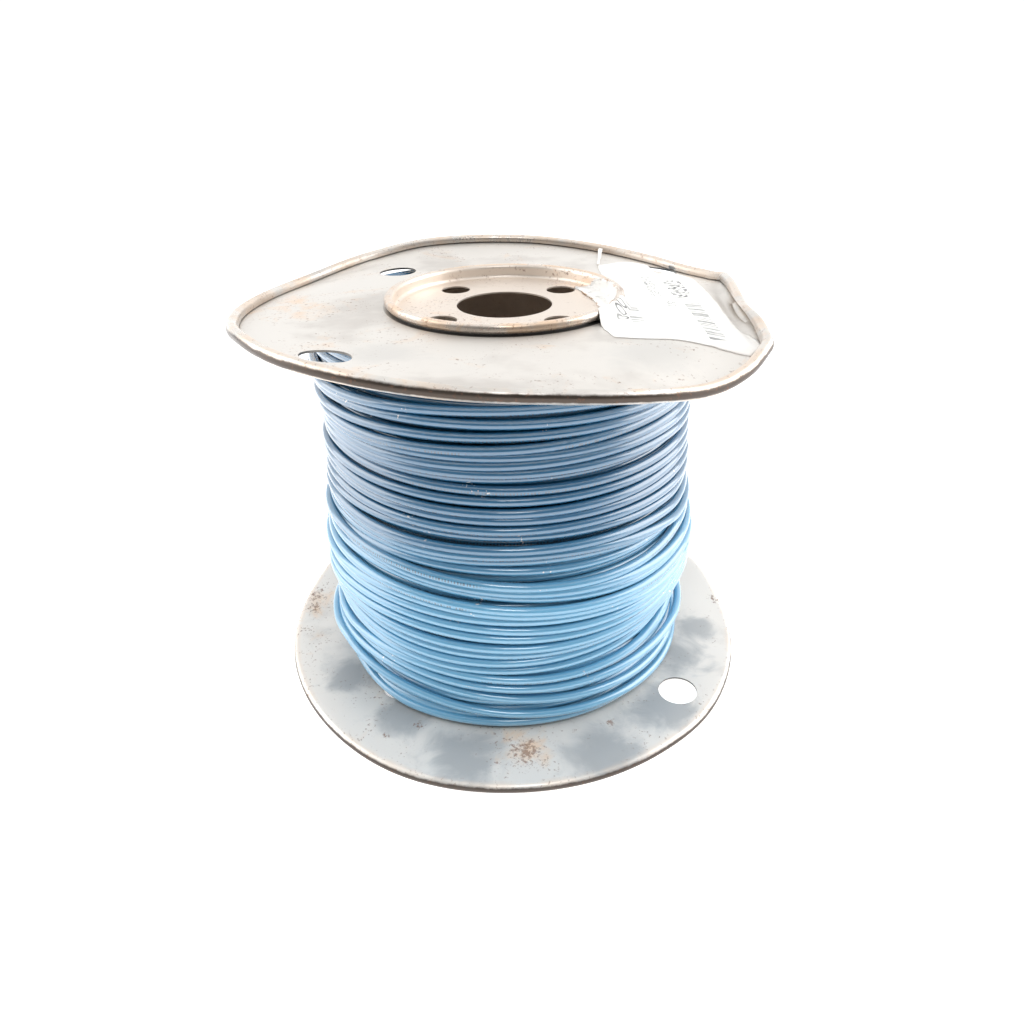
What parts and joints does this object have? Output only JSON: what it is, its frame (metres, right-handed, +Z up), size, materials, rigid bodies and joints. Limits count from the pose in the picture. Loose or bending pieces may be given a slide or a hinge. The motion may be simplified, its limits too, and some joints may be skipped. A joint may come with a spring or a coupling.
{
  "type": "wire spool",
  "caption": "Steel wire reel with dented rolled-edge flanges, a dished hub with an arbor hole and drive holes, and a part-used winding of blue jacketed wire.",
  "frame": {"origin": "on the reel's axis, in the plane that it stands on, which is the crest of the lower hub seam", "axes": "+Z up the reel's axis from the lower flange to the upper one; the upper rim's flattened side faces +X and the picture looks along +Y"},
  "size_m": [0.163, 0.165, 0.1282],
  "materials": {
    "reel_steel": "worn tinned sheet steel with rust staining",
    "wire_jacket": "clear nylon over light blue insulation",
    "copper": "cut copper strands; brass stands in for copper",
    "label_paper": "torn matt paper"
  },
  "bodies": {
    "root": {"barrel": "reel_steel", "upper_hub_plate": "reel_steel", "lower_hub_plate": "reel_steel", "upper_flange": "reel_steel", "lower_flange": "reel_steel", "wire_core": "wire_jacket", "wire_outer_layer": "wire_jacket", "conductor_end": "copper", "label": "label_paper", "label_torn_piece": "label_paper", "label_strip": "label_paper"}
  },
  "joints": []
}
